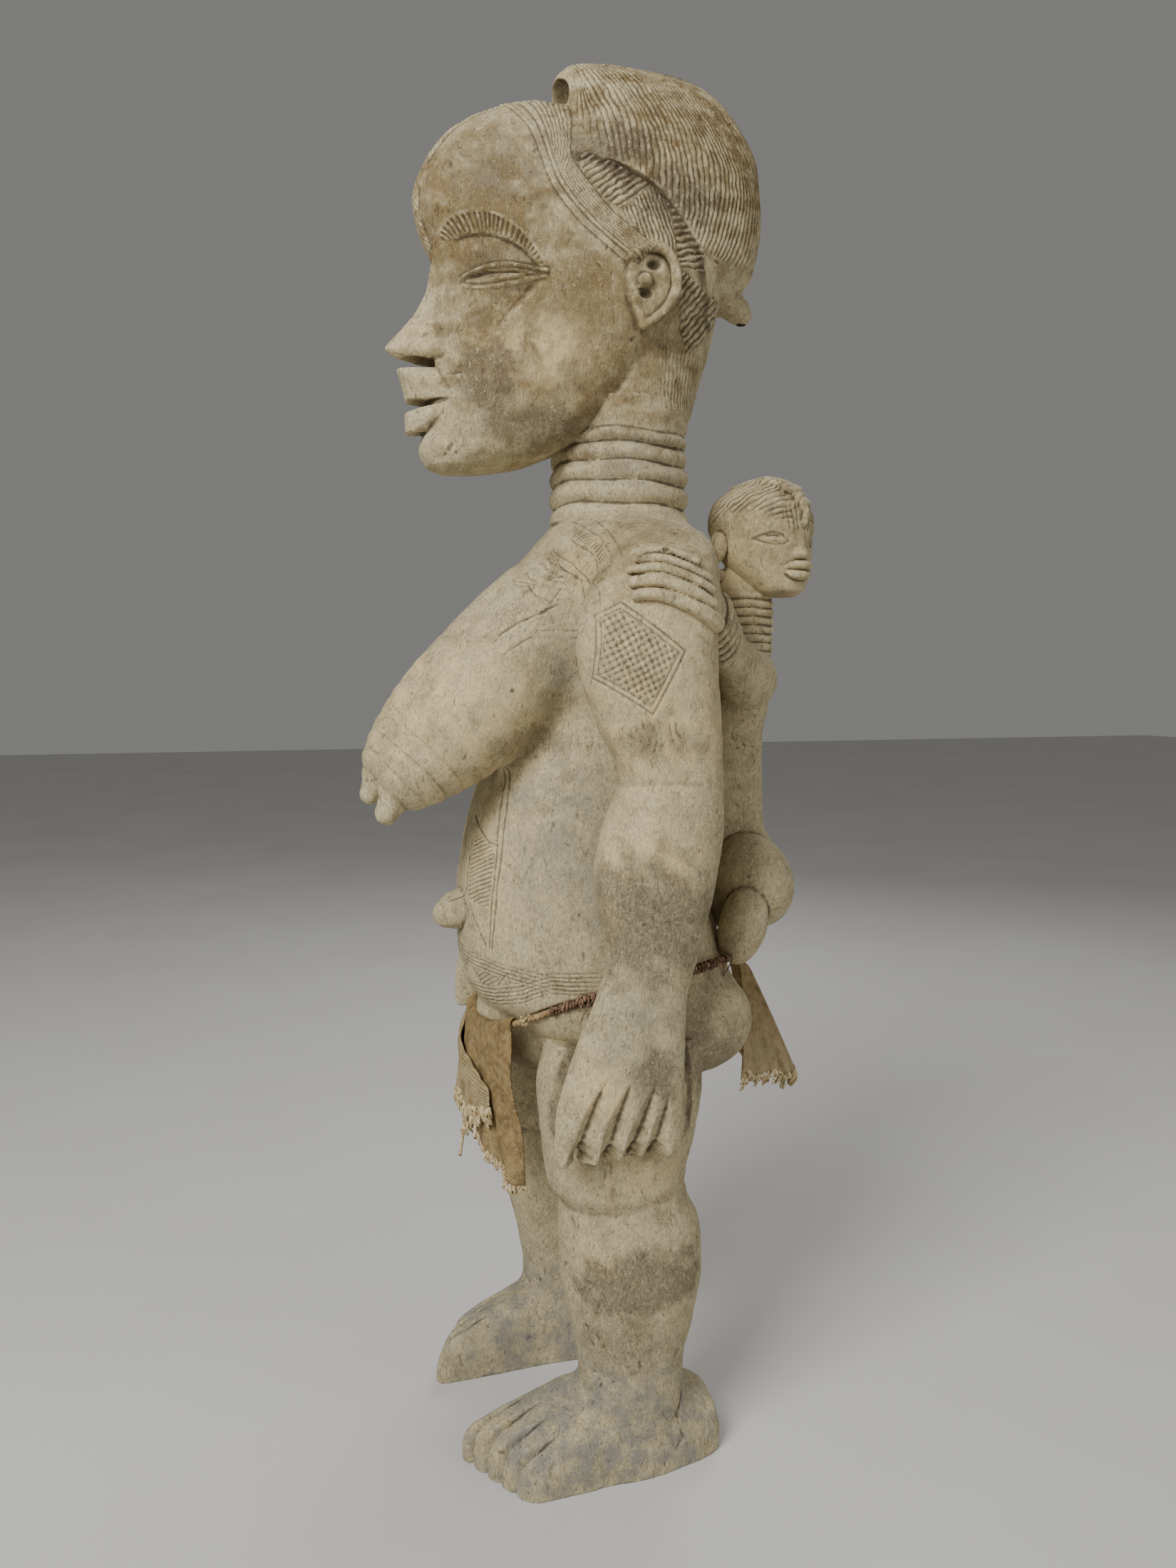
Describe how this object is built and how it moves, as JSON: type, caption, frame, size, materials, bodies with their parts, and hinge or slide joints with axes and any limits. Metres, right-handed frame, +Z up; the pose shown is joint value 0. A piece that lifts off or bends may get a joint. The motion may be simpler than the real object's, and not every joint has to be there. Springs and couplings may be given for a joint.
{
  "type": "maternity figure",
  "caption": "Standing carved wooden woman with a child on her back, a helmet-like ridged hair crest, a ringed neck, hands on her thighs and cloth panels hung from a hip cord.",
  "frame": {"origin": "on the ground, under the middle of the bounding box", "axes": "+Z up along her height, -Y the way she faces, +X towards her left"},
  "size_m": [0.2976, 0.3328, 1],
  "materials": {
    "wood": "dusty, weathered and worn, matt",
    "cord": "plaited plant fibre, whipped with dark thread",
    "cloth": "coarse plain weave with a pale looped fringe"
  },
  "bodies": {
    "root": {"figure": "wood", "hip_cord": "cord", "front_cloth": "cloth", "back_cloth": "cloth"}
  },
  "joints": []
}
